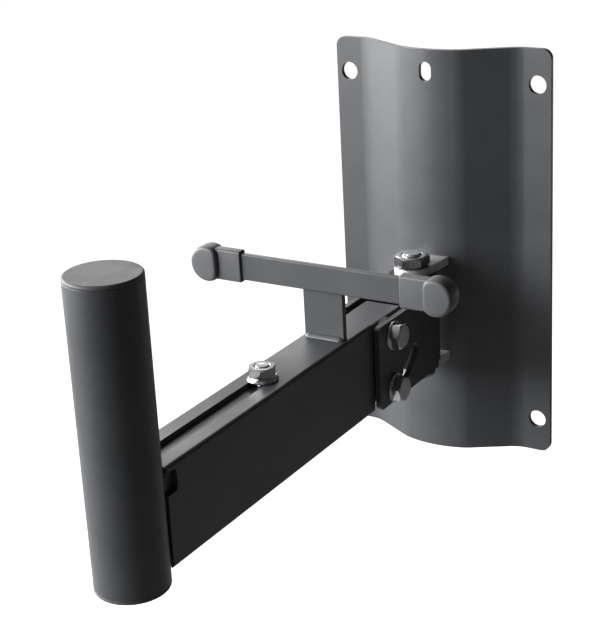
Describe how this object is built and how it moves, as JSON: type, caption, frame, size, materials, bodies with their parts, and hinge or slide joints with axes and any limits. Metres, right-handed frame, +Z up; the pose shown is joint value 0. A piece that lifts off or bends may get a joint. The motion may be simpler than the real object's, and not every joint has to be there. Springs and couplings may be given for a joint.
{
  "type": "speaker wall bracket",
  "caption": "Wall bracket for a loudspeaker: crowned wall plate, swivelling yoke, tilting arm with a cross bar, and a sliding inner tube that carries an upright speaker pole.",
  "frame": {"origin": "centre of the four wall holes, on the rear face of the wall plate", "axes": "+X to the right as seen from the room, +Y into the wall, +Z up; the arm points along -Y"},
  "size_m": [0.154, 0.3339, 0.24],
  "materials": {
    "powder_black": "satin",
    "zinc": "satin",
    "cap_grey": "matte",
    "plug_black": "matte",
    "nylon": "matte"
  },
  "bodies": {
    "wall_mount": {"wall_plate": "powder_black", "upper_ear": "zinc", "lower_ear": "zinc", "ear_welds": "zinc", "pan_bolt": "zinc", "pan_nut": "zinc", "pan_washers": "zinc"},
    "yoke": {"pivot_tube": "powder_black", "upper_bush": "nylon", "lower_bush": "nylon", "cheek_left": "powder_black", "cheek_right": "powder_black", "yoke_welds": "powder_black", "tilt_bolt": "zinc", "tilt_nut": "zinc", "tilt_washers": "zinc", "tilt_spacers": "nylon"},
    "arm": {"arm_tube": "powder_black", "tilt_tongue": "powder_black", "arm_welds": "powder_black", "lock_bolt": "zinc", "lock_nut": "zinc", "lock_washers": "zinc", "lock_spacers": "nylon", "support_post": "powder_black", "support_bar": "powder_black", "bar_cap_left": "cap_grey", "bar_cap_right": "cap_grey"},
    "slider": {"inner_tube": "powder_black", "pole": "powder_black", "pole_welds": "powder_black", "pole_cap_top": "plug_black", "pole_cap_bottom": "plug_black", "clamp_bolt": "zinc", "clamp_nut": "zinc"}
  },
  "joints": [
    {"name": "pan", "type": "hinge", "parent": "wall_mount", "child": "yoke", "pos_m": [0, -0.0436, -0.0306], "axis": [0, 0, 1], "range_deg": [-60, 60]},
    {"name": "tilt", "type": "hinge", "parent": "yoke", "child": "arm", "pos_m": [0, -0.1008, -0.01805], "axis": [1, 0, 0], "range_deg": [0, 54]},
    {"name": "reach", "type": "slide", "parent": "arm", "child": "slider", "axis": [0, -1, 0], "range_m": [0, 0.085]}
  ]
}
